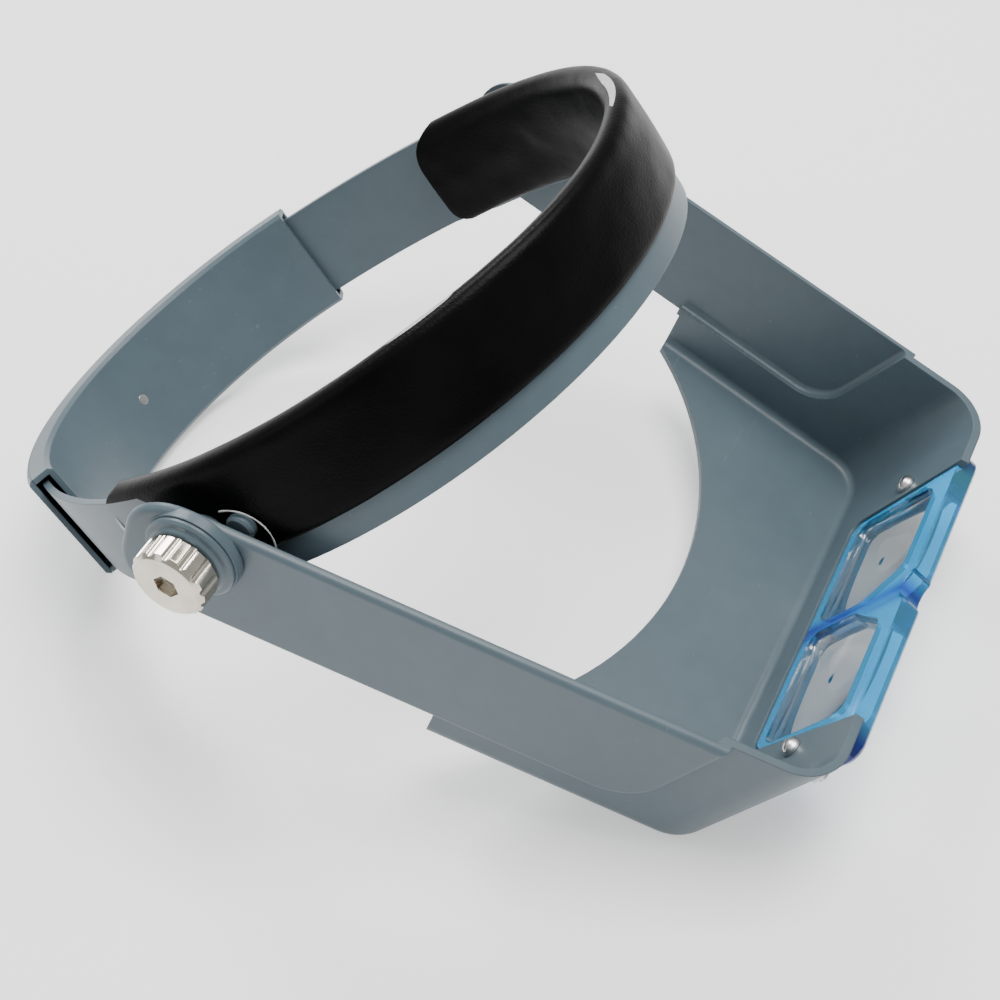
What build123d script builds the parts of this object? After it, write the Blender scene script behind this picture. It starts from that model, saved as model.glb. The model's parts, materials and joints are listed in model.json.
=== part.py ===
"""Head visor magnifier: a headband with a brow pad and a geared rear sleeve, and a hood that tilts
on two side pivots and carries a slide-in lens plate. It lies upside down, as it is put on a bench:
the hood's top panel and the rear sleeve touch the surface and the pivots stand above it.

Two local frames share the pivot axis. Hood frame: x across, y towards the lenses, z out of the
hood's open side. Band frame: x across, y towards the forehead, z towards the padded edge.
Row frame: -Y is the lens side, +Z is up, millimetres, origin under the middle of the whole object.
"""

import os
from math import asin, atan2, cos, degrees, hypot, pi, radians, sin, tan

from build123d import *

os.makedirs("parts", exist_ok=True)

# ---- driving sizes, headband ----
band_radius = 79.5  # forehead arc, to the middle of the band
band_centre_y = -4.9  # where the forehead arc has its centre
band_thickness = 1.8
band_bottom = -15.4
band_top = 13.6
tail_bottom = -14.0
tail_top = 12.0
side_radius = 130.0  # gentle arc behind each temple
side_turn = 32.5  # degrees that each side arc turns inwards
sleeve_wall = 1.5
sleeve_gap = 4.2  # inside, across the two overlapping racks
sleeve_bottom = -16.9
sleeve_top = 14.9
tail_in_sleeve = 7.5  # degrees of the rear arc
band_tilt = 34.9  # degrees, forehead up, as it lies

# ---- driving sizes, hood ----
rim_z = 10.0
hood_height = 47.0
hood_wall = 2.0
arm_height = 34.0
arm_wall = 2.2
arm_step = 2.5  # how far the arms stand proud of the box walls
toe_in = 7.9  # degrees that each arm turns inwards
arm_front_step = 6.9  # from the front wall back to the arms' front edges, at the panel
arm_corner = 15.0
step_round = 1.6
ear_back = 16.5
ear_corner = 13.0
eye_relief = 53.8  # forehead arc to the front wall, at the panel
box_length = 67.7
box_corner = 13.0
front_lean = 17.8  # degrees, outwards towards the rim
panel_round = 4.2
brow_cut_margin = 10.3  # radius of the cut beyond the forehead arc
brow_cut_shift = 10.7

# ---- driving sizes, lens plate ----
sill = 9.7  # up the front wall from the panel
opening_half = 40.3  # at the sill
opening_half_rim = 43.4  # at the rim
opening_corner = 4.0
plate_half = 51.0
plate_below_sill = 3.7
plate_below_rim = 2.36
plate_thickness = 4.6
plate_gap = 0.12
nest_depth = 1.4  # how far the middle of the plate stands into the opening
lens_wide = 35.4
lens_tall = 26.4
lens_corner = 3.2
lens_nose_cut = 7.0  # corner cut beside the nose
lens_middle = 20.5  # from the centre line to the middle of each lens
lens_below_rim = 22.56  # middle of each lens from the rim, down the front wall
lens_seat = 1.0  # width of the seat round each lens
lens_thickness = 2.0
lens_crown = 2.0
notch_half = 5.0
notch_depth = 2.6
lens_screw_x = 45.8
lens_screw_below_rim = 21.36
lens_screw_r = 1.5

# ---- driving sizes, side pivots ----
pivot_r = 2.5
boss_r = 11.4
boss_height = 1.65
washer_r = 11.0
washer_height = 2.6
knob_r = 8.9
knob_height = 7.0
knob_flutes = 14
screw_head_r = 5.6
flute_r = 1.25
hex_socket = 5.4  # across flats
spacer_r = 5.4
spacer_length = 4.4  # from the band's outer face to each arm
peg_r = 3.4
peg_forward = 9.8
peg_up = -1.0
peg_spigot_r = 1.6

# ---- driving sizes, brow pad ----
pad_thickness = 4.0
pad_flap = 1.6
pad_top_extra = 1.6
pad_flap_low = -8.5
pad_low = -14.6
pad_side_angle = 11.5  # degrees along each side arc to the inner part's ends
pad_top_corner = 13.0
pad_low_corner = 6.0

# ---- driving sizes, rear adjuster ----
gear_module = 1.0
gear_teeth = 9
gear_backlash = 0.26
pressure_angle = 25.0
rack_thickness = 1.5
rack_layer = 0.95  # each rack's middle from the middle of the band
rack_half_height = 12.0
rack_end = 35.0  # degrees from the middle
slot_span = 21.0  # degrees each way
slot_end_wall = 1.5  # degrees
rear_knob_r = 11.0
rear_knob_height = 6.4
rear_knob_flutes = 18
axle_r = 1.5

# ---- clearances ----
sliding = 0.05  # round turning shanks
seat_play = 0.1  # between faces that rest on each other
pad_play = 0.3  # between the soft pad and everything else

# ---- sizes that follow ----
panel_z = rim_z - hood_height
arm_bottom = rim_z - arm_height
arm_slant = arm_height * tan(radians(front_lean))
lean = radians(front_lean)
toe = radians(toe_in)
turn = radians(side_turn)
side_centre_x = band_radius - side_radius
side_end_x = side_centre_x + side_radius * cos(turn)
side_end_y = band_centre_y - side_radius * sin(turn)
rear_radius = side_end_x / cos(turn)
rear_centre_y = side_end_y + rear_radius * sin(turn)
rear_half_angle = 90 - side_turn
sleeve_out = sleeve_gap / 2 + sleeve_wall
rear_middle_z = (sleeve_bottom + sleeve_top) / 2
rear_middle_y = rear_centre_y - rear_radius
pitch_r = gear_module * gear_teeth / 2
tip_r = pitch_r + 0.9 * gear_module
root_r = pitch_r - 1.2 * gear_module
band_out = band_radius + band_thickness / 2
arm_inner = band_out + spacer_length
arm_half_width = arm_inner + arm_wall  # outer faces of the arms at the pivots
boss_out = arm_half_width + boss_height
box_front = band_centre_y + band_radius + eye_relief
box_rear = box_front - box_length
arm_front = box_front - arm_front_step
brow_cut_radius = band_radius + brow_cut_margin
brow_cut_y = band_centre_y + brow_cut_shift
rim_up = hood_height / cos(lean)
plate_low = sill - plate_below_sill
plate_high = rim_up - plate_below_rim
lens_up = rim_up - lens_below_rim
lens_screw_up = rim_up - lens_screw_below_rim

front_arc = (0, band_centre_y, band_radius)
right_arc = (side_centre_x, band_centre_y, side_radius)
left_arc = (-side_centre_x, band_centre_y, side_radius)
rear_arc = (0, rear_centre_y, rear_radius)

band_pieces = {}
hood_pieces = {}


# ---------------------------------------------------------------- shared shapes
def along(arc, section, start, end):
    """A section of (outward offset, z) points carried round an arc between two angles, degrees."""
    centre_x, centre_y, radius = arc
    direction = Vector(cos(radians(start)), sin(radians(start)), 0)
    section_plane = Plane(
        (centre_x, centre_y, 0), x_dir=direction, z_dir=(direction.Y, -direction.X, 0)
    )
    with BuildPart() as run:
        with BuildSketch(section_plane):
            with BuildLine():
                Polyline(*[(radius + offset, z) for offset, z in section], close=True)
            make_face()
        revolve(axis=Axis((centre_x, centre_y, 0), (0, 0, 1)), revolution_arc=end - start)
    return run.part


def box_section(low_offset, high_offset, bottom, top):
    """A plain rectangular section for a run round an arc."""
    return [(low_offset, bottom), (high_offset, bottom), (high_offset, top), (low_offset, top)]


def turned(profile):
    """A turned piece from (radius, height) points, about +Z."""
    with BuildPart() as piece:
        with BuildSketch(Plane.XZ):
            with BuildLine():
                Polyline(*profile, close=True)
            make_face()
        revolve(axis=Axis.Z)
    return piece.part


def pivot_plane(offset, side):
    """A plane across the pivot axis on one side, facing outwards."""
    return Plane((side * offset, 0, 0), x_dir=(0, 1, 0), z_dir=(side, 0, 0))


def front_plane(outwards):
    """The front wall's outer face, moved outwards: x across, y up the wall from the panel."""
    return Plane(
        (0, box_front + outwards * cos(lean), panel_z - outwards * sin(lean)),
        x_dir=(-1, 0, 0),
        z_dir=(0, cos(lean), -sin(lean)),
    )


def rear_plane(outwards, across=0.0, upwards=0.0):
    """A plane facing backwards at the middle of the rear sleeve."""
    return Plane(
        (across, rear_middle_y - outwards, rear_middle_z + upwards),
        x_dir=(1, 0, 0),
        z_dir=(0, -1, 0),
    )


# ---------------------------------------------------------------- hood
def box_solid(inset, wall, rear, corner, top, bottom_round):
    """The leaning box between the panel and the rim, with a rounded panel edge."""
    floor_z = panel_z + wall
    with BuildPart() as box:
        for z in (floor_z, top):
            front = box_front + (z - panel_z) * tan(lean) - wall / cos(lean)
            rear_half = arm_half_width - inset / cos(toe) - rear * tan(toe)
            front_half = arm_half_width - inset / cos(toe) - front * tan(toe)
            with BuildSketch(Plane.XY.offset(z)):
                with BuildLine():
                    Polyline(
                        (rear_half, rear),
                        (front_half, front),
                        (-front_half, front),
                        (-rear_half, rear),
                        close=True,
                    )
                make_face()
                fillet(vertices().group_by(Axis.Y)[-1], corner)
        loft(ruled=True)
        lowest = box.edges().group_by(Axis.Z)[0]
        fillet([e for e in lowest if e.center().Y > rear + 1], bottom_round)
    return box.part


def arm_plane(inset):
    """The outer face of the +x arm, moved inwards: x forwards along it, y up, z outwards."""
    return Plane(
        (arm_half_width - inset / cos(toe), 0, 0),
        x_dir=(-sin(toe), cos(toe), 0),
        z_dir=(cos(toe), sin(toe), 0),
    )


with BuildPart() as arm:
    with BuildSketch(arm_plane(0)):
        with BuildLine():
            Polyline(
                (-ear_back, arm_bottom),
                (arm_front - arm_slant, arm_bottom),
                (arm_front, rim_z),
                (-ear_back, rim_z),
                close=True,
            )
        make_face()
        fillet(vertices().group_by(Axis.X)[0], ear_corner)
        fillet(vertices().group_by(Axis.Y)[0].sort_by(Axis.X)[-1], arm_corner)
    extrude(amount=-arm_wall - arm_step)
    outer_edges = arm.faces().sort_by(Axis((0, 0, 0), arm_plane(0).z_dir))[-1].edges()
    fillet([e for e in outer_edges if e.center().Y > box_rear / 3 and e.center().Z < rim_z - 1], step_round)

with BuildPart() as pocket:
    with BuildSketch(arm_plane(arm_wall)):
        with BuildLine():
            Polyline(
                (-ear_back - 5, arm_bottom - 1),
                (box_rear, arm_bottom - 1),
                (box_rear, arm_bottom + arm_wall),
                (arm_front - arm_wall - arm_slant, arm_bottom + arm_wall),
                (arm_front - arm_wall, rim_z),
                (arm_front - arm_wall, rim_z + 3),
                (-ear_back - 5, rim_z + 3),
                close=True,
            )
        make_face()
        slant_foot = vertices().sort_by(Axis.X)[-3:].sort_by(Axis.Y)[0]
        fillet(slant_foot, arm_corner - arm_wall)
    extrude(amount=-3 * arm_step)
    deep = pocket.faces().sort_by(Axis((0, 0, 0), arm_plane(0).z_dir))[-1].edges()
    front_edges = [e for e in deep if e.center().Y > box_rear + 5 and e.center().Z < rim_z - 1]
    fillet(front_edges, step_round)

with BuildPart() as hood:
    add(box_solid(arm_step, 0, box_rear, box_corner, rim_z, panel_round))
    add(arm.part)
    mirror(arm.part, about=Plane.YZ)
    inner_round = panel_round - hood_wall
    inner_corner = box_corner - hood_wall
    inner_box = box_solid(
        arm_step + hood_wall, hood_wall, box_rear - 1, inner_corner, rim_z + 1, inner_round
    )
    add(inner_box, mode=Mode.SUBTRACT)
    add(pocket.part, mode=Mode.SUBTRACT)
    mirror(pocket.part, about=Plane.YZ, mode=Mode.SUBTRACT)
    # the panel's rear edge follows the brow
    with BuildSketch(Plane.XY.offset(panel_z - 1)):
        with Locations((0, brow_cut_y)):
            Circle(brow_cut_radius)
    extrude(amount=2 * hood_wall, mode=Mode.SUBTRACT)
    # the opening for the lens plate, open at the rim
    rise = (hood_height + 4) / cos(lean)
    flare = (opening_half_rim - opening_half) * (rise - sill) / (hood_height / cos(lean) - sill)
    with BuildSketch(front_plane(1)):
        with BuildLine():
            Polyline(
                (-opening_half, sill),
                (opening_half, sill),
                (opening_half + flare, rise),
                (-opening_half - flare, rise),
                close=True,
            )
        make_face()
        fillet(vertices().group_by(Axis.Y)[0], opening_corner)
    extrude(amount=-1 - 3 * hood_wall, mode=Mode.SUBTRACT)
    # flat bosses square to the pivot axis
    for side in (1, -1):
        with BuildSketch(pivot_plane(arm_half_width - 1, side)):
            Circle(boss_r)
        extrude(amount=boss_out - arm_half_width + 1)
    for side in (1, -1):
        with BuildSketch(pivot_plane(arm_inner, side)):
            Circle(spacer_r + 1)
        extrude(amount=-4, mode=Mode.SUBTRACT)
        with BuildSketch(pivot_plane(arm_inner - 5, side)):
            Circle(pivot_r + sliding)
        extrude(amount=12, mode=Mode.SUBTRACT)
    # screw holes beside the opening
    with BuildSketch(front_plane(1)):
        with Locations((lens_screw_x, lens_screw_up), (-lens_screw_x, lens_screw_up)):
            Circle(lens_screw_r + sliding)
    extrude(amount=-1 - 3 * hood_wall, mode=Mode.SUBTRACT)
hood_pieces["hood"] = hood.part

# ---------------------------------------------------------------- lens plate and lenses
lens_floor = lens_thickness + 2 * seat_play - nest_depth  # bottom of each lens's seat


def lens_outline(side, grow, start, stop):
    """One lens's outline, grown by an edge width, between two distances out of the front wall."""
    half_wide = lens_wide / 2 + grow
    half_tall = lens_tall / 2 + grow
    cut = lens_nose_cut + grow / 2
    with BuildPart() as blank:
        with BuildSketch(front_plane(start)):
            with BuildLine():
                Polyline(
                    (side * (lens_middle - half_wide), lens_up - half_tall),
                    (side * (lens_middle + half_wide), lens_up - half_tall),
                    (side * (lens_middle + half_wide), lens_up + half_tall),
                    (side * (lens_middle - half_wide + cut), lens_up + half_tall),
                    (side * (lens_middle - half_wide), lens_up + half_tall - 1.6 * cut),
                    close=True,
                )
            make_face()
            fillet(vertices(), lens_corner + grow)
        extrude(amount=stop - start)
    return blank.part


with BuildPart() as lens_frame:
    with BuildSketch(front_plane(plate_gap)):
        with Locations((0, (plate_low + plate_high) / 2)):
            Rectangle(2 * plate_half, plate_high - plate_low)
        fillet(vertices().group_by(Axis.Y)[0], 3)
        fillet(vertices().group_by(Axis.Y)[-1], 5)
    extrude(amount=plate_thickness)
    outwards = Axis((0, 0, 0), (0, cos(lean), -sin(lean)))
    chamfer(lens_frame.faces().sort_by(outwards)[-1].edges(), 0.9)
    # the raised middle that stands in the opening
    nest_flare = (opening_half_rim - opening_half) * (plate_high - sill)
    nest_flare = nest_flare / (hood_height / cos(lean) - sill)
    with BuildSketch(front_plane(-nest_depth)):
        with BuildLine():
            Polyline(
                (-opening_half + 0.4, sill + 0.4),
                (opening_half - 0.4, sill + 0.4),
                (opening_half - 0.4 + nest_flare, plate_high),
                (-opening_half + 0.4 - nest_flare, plate_high),
                close=True,
            )
        make_face()
        fillet(vertices().group_by(Axis.Y)[0], opening_corner)
    extrude(amount=nest_depth + plate_gap)
    # screw slots, open at the low edge
    for side in (1, -1):
        with BuildSketch(front_plane(-1)):
            with Locations((side * lens_screw_x, lens_screw_up - 20)):
                Rectangle(2 * lens_screw_r + 0.4, 40)
            with Locations((side * lens_screw_x, lens_screw_up)):
                Circle(lens_screw_r + 0.2)
        extrude(amount=plate_thickness + 3, mode=Mode.SUBTRACT)
    # nose notch at the rim edge
    with BuildSketch(front_plane(-nest_depth - 1)):
        with Locations((0, plate_high)):
            Ellipse(notch_half, notch_depth)
    extrude(amount=plate_thickness + nest_depth + 3, mode=Mode.SUBTRACT)
    # a window for each lens, and a seat cut from the inner face
    for side in (1, -1):
        add(lens_outline(side, 0, -nest_depth - 1, plate_thickness + 3), mode=Mode.SUBTRACT)
        add(lens_outline(side, lens_seat, -nest_depth - 1, lens_floor), mode=Mode.SUBTRACT)
hood_pieces["lens_frame"] = lens_frame.part

lens_base = seat_play - nest_depth
lens_reach_squared = (lens_wide / 2) ** 2 + (lens_tall / 2) ** 2
crown_radius = (lens_reach_squared + lens_crown**2) / (2 * lens_crown)
for name, side in (("left_lens", 1), ("right_lens", -1)):
    with BuildPart() as lens:
        crown_top = lens_base + lens_thickness + lens_crown
        add(lens_outline(side, lens_seat - seat_play, lens_base, lens_base + lens_thickness))
        add(lens_outline(side, -seat_play, lens_base, crown_top))
        dome_plane = front_plane(crown_top - crown_radius)
        with Locations(dome_plane.location * Location((side * lens_middle, lens_up, 0))):
            Sphere(crown_radius, mode=Mode.INTERSECT)
    hood_pieces[name] = lens.part

# ---------------------------------------------------------------- lens screws and nuts
head_in = hood_wall + seat_play
nut_out = plate_gap + plate_thickness + seat_play
with BuildPart() as lens_screw:
    add(
        turned(
            [
                (0, -head_in - 2.0),
                (1.3, -head_in - 1.9),
                (2.1, -head_in - 1.4),
                (2.5, -head_in - 0.7),
                (2.6, -head_in),
                (lens_screw_r, -head_in),
                (lens_screw_r, nut_out + 3.6),
                (0, nut_out + 3.6),
            ]
        )
    )
    with Locations((0, 0, -head_in - 2.0)):
        Box(9, 0.7, 1.6, mode=Mode.SUBTRACT)
with BuildPart() as lens_nut:
    with BuildSketch(Plane.XY.offset(nut_out)):
        RegularPolygon(3.2, 6)
        Circle(lens_screw_r + sliding, mode=Mode.SUBTRACT)
    extrude(amount=2.4)
    chamfer(lens_nut.edges().group_by(Axis.Z)[-1].filter_by(GeomType.LINE), 0.3)
screw_places = [
    front_plane(0).location * Location((side * lens_screw_x, lens_screw_up, 0)) for side in (1, -1)
]
hood_pieces["lens_screws"] = Compound(children=[lens_screw.part.moved(p) for p in screw_places])
hood_pieces["lens_nuts"] = Compound(children=[lens_nut.part.moved(p) for p in screw_places])

# ---------------------------------------------------------------- side pivots
washer_base = boss_out + seat_play
knob_base = washer_base + washer_height + seat_play
screw_head = 1.2
head_seat = band_out - band_thickness - 0.9  # clear of the band's curve
bore = pivot_r + sliding
washer = turned(
    [
        (bore, 0),
        (washer_r, 0),
        (washer_r, 0.7),
        (washer_r - 0.6, 1.3),
        (washer_r - 1.6, 1.5),
        (washer_r - 2.2, 2.2),
        (washer_r - 3.4, washer_height),
        (bore, washer_height),
    ]
)
spacer = turned(
    [
        (bore, band_out + 2 * seat_play),
        (spacer_r, band_out + 2 * seat_play),
        (spacer_r, arm_inner - seat_play),
        (bore, arm_inner - seat_play),
    ]
)
pivot_screw = turned(
    [
        (0, head_seat - screw_head - 0.3),
        (screw_head_r - 0.6, head_seat - screw_head),
        (screw_head_r, head_seat - 0.5),
        (screw_head_r, head_seat),
        (pivot_r, head_seat),
        (pivot_r, knob_base + knob_height - 3.0),
        (0, knob_base + knob_height - 3.0),
    ]
)
with BuildPart() as clamp_knob:
    add(
        turned(
            [
                (bore, 0),
                (knob_r - 0.6, 0),
                (knob_r, 0.6),
                (knob_r, knob_height - 1.0),
                (knob_r - 1.0, knob_height),
                (bore, knob_height),
            ]
        )
    )
    with BuildSketch(Plane.XY.offset(knob_height - 2.4)):
        RegularPolygon(hex_socket / 2 / cos(pi / 6), 6)
    extrude(amount=4, mode=Mode.SUBTRACT)
    with BuildSketch(Plane.XY.offset(-1)):
        with PolarLocations(knob_r + flute_r * 0.55, knob_flutes):
            Circle(flute_r)
    extrude(amount=knob_height + 2, mode=Mode.SUBTRACT)

# the peg's foot follows the band's curve and a spigot goes through the band
peg_reach = arm_inner - 2.8
spigot_start = (band_out - band_thickness) ** 2 - (peg_forward - band_centre_y) ** 2
with BuildPart() as peg:
    with BuildSketch(Plane.XY.offset(band_radius - 12)):
        Circle(peg_r)
    extrude(amount=peg_reach - band_radius + 12)
    chamfer(peg.edges().group_by(Axis.Z)[-1], 0.6)
    with BuildSketch(Plane.XZ.offset(-3 * peg_r)):
        with Locations((band_centre_y - peg_forward, 0)):
            Circle(band_out + seat_play)
    extrude(amount=6 * peg_r, mode=Mode.SUBTRACT)
    with BuildSketch(Plane.XY.offset(spigot_start**0.5 + seat_play)):
        Circle(peg_spigot_r)
    extrude(amount=4)

for name, side in (("left", 1), ("right", -1)):
    across = pivot_plane(0, side).location
    hood_pieces[f"{name}_washer"] = washer.moved(Location((0, 0, washer_base))).moved(across)
    band_pieces[f"{name}_spacer"] = spacer.moved(across)
    band_pieces[f"{name}_pivot_screw"] = pivot_screw.moved(across)
    at_peg = Location((peg_forward, side * peg_up, 0))
    band_pieces[f"{name}_stop_peg"] = peg.part.moved(at_peg).moved(across)
    hood_pieces[f"{name}_knob"] = clamp_knob.part.moved(Location((0, 0, knob_base))).moved(across)

# ---------------------------------------------------------------- headband
half = band_thickness / 2
tall = box_section(-half, half, band_bottom, band_top)
tail_end = 90 - rear_half_angle
with BuildPart() as head_band:
    add(along(front_arc, tall, 0, 180))
    add(along(right_arc, tall, -side_turn, 0))
    add(along(left_arc, tall, 180, 180 + side_turn))
    add(along(rear_arc, tall, -side_turn - tail_in_sleeve, -side_turn))
    add(along(rear_arc, tall, 180 + side_turn, 180 + side_turn + tail_in_sleeve))
    # behind the temples the band narrows to the tails
    with BuildSketch(Plane.YZ.offset(-2 * band_radius)):
        with BuildLine():
            Polyline(
                (100, band_bottom - 2),
                (100, band_top + 2),
                (-14, band_top + 2),
                (-14, band_top),
                (-30, tail_top),
                (-120, tail_top),
                (-120, tail_bottom),
                (-34, tail_bottom),
                (-20, band_bottom),
                (-20, band_bottom - 2),
                close=True,
            )
        make_face()
        fillet(vertices().filter_by(lambda v: -35 < v.Y < -29), 8)
    extrude(amount=4 * band_radius, mode=Mode.INTERSECT)
    for side in (1, -1):
        with BuildSketch(pivot_plane(band_radius - 6, side)):
            Circle(bore)
            with Locations((peg_forward, side * peg_up)):
                Circle(peg_spigot_r + sliding)
        extrude(amount=12, mode=Mode.SUBTRACT)
band_pieces["head_band"] = head_band.part


# ---------------------------------------------------------------- brow pad
pad_out = -half - pad_play
pad_in = pad_out - pad_thickness
pad_over = band_top + pad_play
pad_top = pad_over + pad_top_extra
flap_in = half + pad_play
flap_out = flap_in + pad_flap
hooked_section = [
    (pad_in + 1.2, pad_low),
    (pad_out, pad_low),
    (pad_out, pad_over),
    (flap_in, pad_over),
    (flap_in, pad_flap_low),
    (flap_out - 0.5, pad_flap_low),
    (flap_out, pad_flap_low + 0.6),
    (flap_out, pad_over + 0.4),
    (flap_out - 1.6, pad_top),
    (pad_in + 1.6, pad_top),
    (pad_in, pad_top - 1.8),
    (pad_in, pad_low + 1.2),
]
pad_back = band_centre_y - side_radius * sin(radians(pad_side_angle))
with BuildPart() as brow_pad:
    add(along(front_arc, hooked_section, 0, 180))
    add(along(right_arc, hooked_section, -pad_side_angle, 0))
    add(along(left_arc, hooked_section, 180, 180 + pad_side_angle))
    # rounded ends
    with BuildSketch(Plane.YZ.offset(-2 * band_radius)):
        with BuildLine():
            Polyline(
                (pad_back + 0.5, pad_low - 1),
                (2 * band_radius, pad_low - 1),
                (2 * band_radius, pad_top + 1),
                (pad_back + 0.5, pad_top + 1),
                close=True,
            )
        make_face()
        fillet(vertices().group_by(Axis.X)[0].sort_by(Axis.Y)[-1], pad_top_corner)
        fillet(vertices().group_by(Axis.X)[0].sort_by(Axis.Y)[0], pad_low_corner)
    extrude(amount=4 * band_radius, mode=Mode.INTERSECT)
    # room for the heads of the pivot screws, the spacers and the pegs
    for side in (1, -1):
        with BuildSketch(pivot_plane(head_seat - screw_head - 0.3 - pad_play, side)):
            Circle(screw_head_r + pad_play)
        extrude(amount=4, mode=Mode.SUBTRACT)
        with BuildSketch(pivot_plane(band_radius - 3, side)):
            Circle(spacer_r + pad_play)
            with Locations((peg_forward, side * peg_up)):
                Circle(peg_r + pad_play)
        extrude(amount=8, mode=Mode.SUBTRACT)
band_pieces["brow_pad"] = brow_pad.part

# ---------------------------------------------------------------- rear sleeve
inner_face = -sleeve_out
outer_face = sleeve_out
cavity = sleeve_gap / 2
rear_start = -90 - rear_half_angle
rear_stop = -90 + rear_half_angle
cavity_bottom = sleeve_bottom + sleeve_wall
cavity_top = sleeve_top - sleeve_wall
shell_section = [
    (inner_face, sleeve_bottom + 1),
    (inner_face + 1, sleeve_bottom),
    (cavity, sleeve_bottom),
    (cavity, cavity_bottom),
    (-cavity, cavity_bottom),
    (-cavity, cavity_top),
    (cavity, cavity_top),
    (cavity, sleeve_top),
    (inner_face + 1, sleeve_top),
    (inner_face, sleeve_top - 1),
]
cover_section = [
    (cavity + seat_play, sleeve_bottom),
    (outer_face - 1, sleeve_bottom),
    (outer_face, sleeve_bottom + 1),
    (outer_face, sleeve_top - 1),
    (outer_face - 1, sleeve_top),
    (cavity + seat_play, sleeve_top),
]
hub_r = 3.6
with BuildPart() as sleeve_shell:
    add(along(rear_arc, shell_section, rear_start, rear_stop))
    with BuildSketch(rear_plane(-10)):
        Circle(axle_r + sliding)
    extrude(amount=12, mode=Mode.SUBTRACT)
with BuildPart() as sleeve_cover:
    add(along(rear_arc, cover_section, rear_start, rear_stop))
    with BuildSketch(rear_plane(0)):
        Circle(hub_r + sliding)
    extrude(amount=12, mode=Mode.SUBTRACT)
band_pieces["sleeve_shell"] = sleeve_shell.part
band_pieces["sleeve_cover"] = sleeve_cover.part

# ---------------------------------------------------------------- racks, pinion and rear knob
pressure = tan(radians(pressure_angle))
tooth_half = gear_module * pi / 4 - gear_backlash / 2
tooth_base = tooth_half + 1.3 * gear_module * pressure
tooth_tip = tooth_half - 0.8 * gear_module * pressure


def rack(layer, long_side, toothed_edge):
    """A curved strip with a slot; one long edge of the slot carries the teeth."""
    low = layer - rack_thickness / 2
    high = layer + rack_thickness / 2
    short_end = slot_span + slot_end_wall
    start = -90 - (rack_end if long_side < 0 else short_end)
    stop = -90 + (rack_end if long_side > 0 else short_end)
    bottom = rear_middle_z - rack_half_height
    top = rear_middle_z + rack_half_height
    toothed_z = rear_middle_z + toothed_edge * (pitch_r + 1.3 * gear_module)
    plain_z = rear_middle_z - toothed_edge * (tip_r + 0.5)
    slot = box_section(low - 1, high + 1, min(toothed_z, plain_z), max(toothed_z, plain_z))
    pinion_gap = 0 if toothed_edge < 0 else 0.5
    tooth_step = degrees(gear_module * pi / (rear_radius + layer))
    with BuildPart() as strip:
        add(along(rear_arc, box_section(low, high, bottom, top), start, stop))
        add(along(rear_arc, slot, -90 - slot_span, -90 + slot_span), mode=Mode.SUBTRACT)
        for count in range(-6, 7):
            angle = radians(-90 + (count + pinion_gap) * tooth_step)
            out = Vector(cos(angle), sin(angle), 0)
            tooth_plane = Plane(
                Vector(0, rear_centre_y, rear_middle_z) + out * (rear_radius + low),
                x_dir=(-out.Y, out.X, 0),
                z_dir=out,
            )
            with BuildSketch(tooth_plane):
                with BuildLine():
                    Polyline(
                        (-tooth_base, toothed_edge * (pitch_r + 1.5 * gear_module)),
                        (tooth_base, toothed_edge * (pitch_r + 1.5 * gear_module)),
                        (tooth_base, toothed_edge * (pitch_r + 1.3 * gear_module)),
                        (tooth_tip, toothed_edge * (pitch_r - 0.8 * gear_module)),
                        (-tooth_tip, toothed_edge * (pitch_r - 0.8 * gear_module)),
                        (-tooth_base, toothed_edge * (pitch_r + 1.3 * gear_module)),
                        close=True,
                    )
                make_face()
            extrude(amount=high - low)
    return strip.part


with BuildPart() as rear_pinion:
    with BuildSketch(rear_plane(-cavity + 0.75)):
        Circle(root_r)
        with PolarLocations(0, gear_teeth, start_angle=90):
            Polygon(
                (root_r - 0.6, -0.55),
                (root_r, -0.58),
                (pitch_r - 0.45, -tooth_half - 0.05),
                (pitch_r, -tooth_half),
                (pitch_r + 0.5, -tooth_half + 0.26),
                (tip_r, -0.11),
                (tip_r, 0.11),
                (pitch_r + 0.5, tooth_half - 0.26),
                (pitch_r, tooth_half),
                (pitch_r - 0.45, tooth_half + 0.05),
                (root_r, 0.58),
                (root_r - 0.6, 0.55),
                align=None,
            )
    extrude(amount=2 * cavity - 1.0)
    with BuildSketch(rear_plane(cavity - 0.5)):
        Circle(hub_r - 0.6)
    extrude(amount=sleeve_wall + 0.5)
    with BuildSketch(rear_plane(-8)):
        Circle(axle_r + sliding)
    extrude(amount=20, mode=Mode.SUBTRACT)

with BuildPart() as rear_knob:
    with BuildSketch(rear_plane(sleeve_out + 0.3)):
        Circle(rear_knob_r)
        with PolarLocations(rear_knob_r + 0.5, rear_knob_flutes):
            Circle(1.1, mode=Mode.SUBTRACT)
    extrude(amount=rear_knob_height)
    chamfer(rear_knob.edges().group_by(Axis.Y)[0], 0.5)
    with BuildSketch(rear_plane(sleeve_out + 0.3 + rear_knob_height - 0.8)):
        Circle(rear_knob_r - 3)
    extrude(amount=1, mode=Mode.SUBTRACT)
    with BuildSketch(rear_plane(0)):
        Circle(axle_r + sliding)
    extrude(amount=20, mode=Mode.SUBTRACT)
with BuildPart() as rear_axle:
    with BuildSketch(rear_plane(-sleeve_out)):
        Circle(axle_r)
    extrude(amount=2 * sleeve_out + rear_knob_height - 0.7)
    with BuildSketch(rear_plane(-cavity + seat_play)):
        Circle(3.0)
    extrude(amount=0.5)
band_pieces["left_rack"] = rack(-rack_layer, 1, 1)
band_pieces["right_rack"] = rack(rack_layer, -1, -1)
band_pieces["rear_pinion"] = rear_pinion.part
band_pieces["rear_knob"] = rear_knob.part
band_pieces["rear_axle"] = rear_axle.part

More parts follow.
